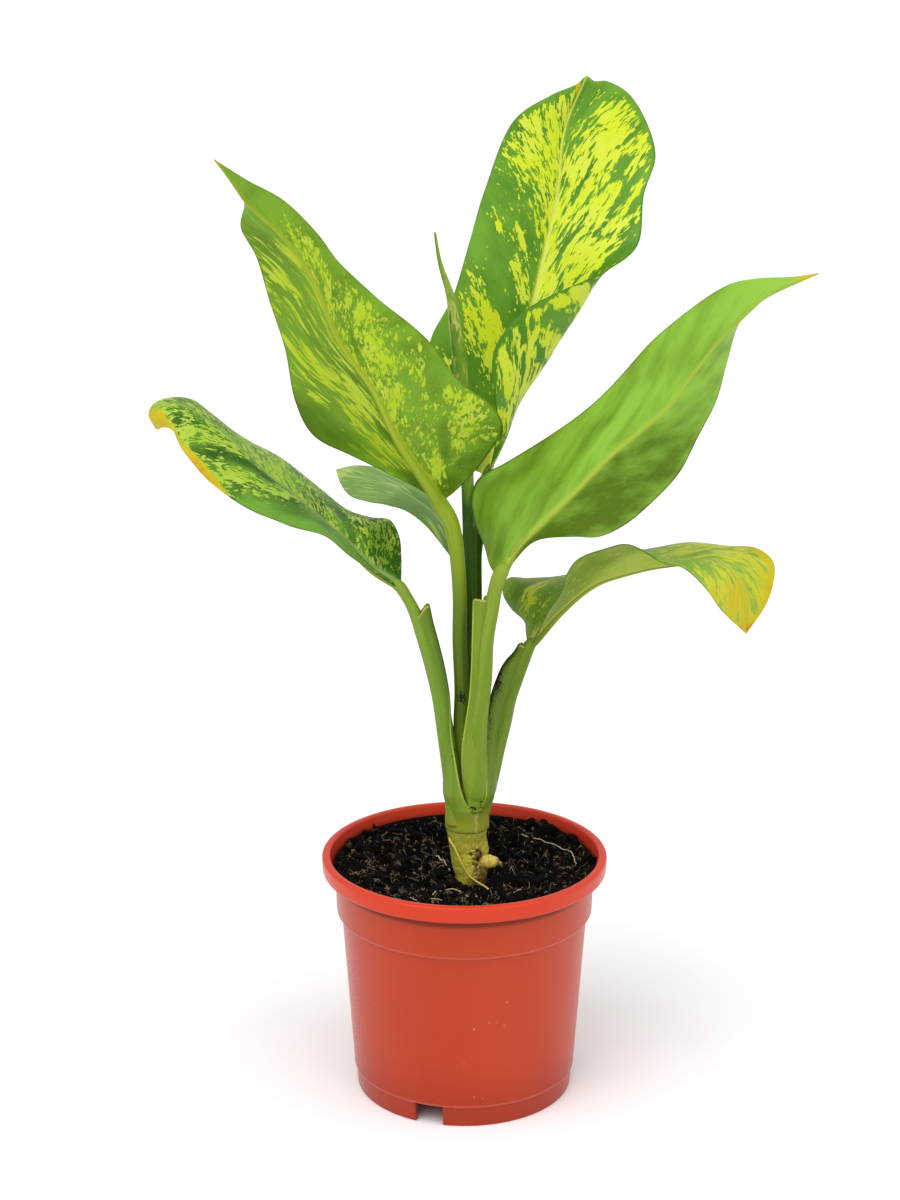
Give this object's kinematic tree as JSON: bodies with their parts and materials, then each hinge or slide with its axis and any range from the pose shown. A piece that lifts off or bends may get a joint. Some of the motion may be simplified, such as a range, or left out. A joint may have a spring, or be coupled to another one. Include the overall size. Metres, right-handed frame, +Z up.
{
  "type": "potted dieffenbachia",
  "caption": "Young dieffenbachia with variegated leaves on clasping stalks round a furled new leaf, on a short cane rooted in a moulded nursery pot of compost.",
  "frame": {"origin": "middle of the whole plant's footprint, at the level of the pot's foot", "axes": "+Z up; the side in the picture faces -Y, with +X to its right"},
  "size_m": [0.2556, 0.1702, 0.4192],
  "materials": {
    "pot_plastic": "satin",
    "compost": "matte",
    "cane": "satin",
    "leaf": "satin",
    "new_leaf": "satin"
  },
  "bodies": {
    "root": {"pot": "pot_plastic", "compost": "compost", "cane": "cane", "top_leaf": "leaf", "left_leaf": "leaf", "right_leaf": "leaf", "lower_left_leaf": "leaf", "lower_right_leaf": "leaf", "back_leaf": "leaf", "furled_new_leaf": "new_leaf"}
  },
  "joints": []
}
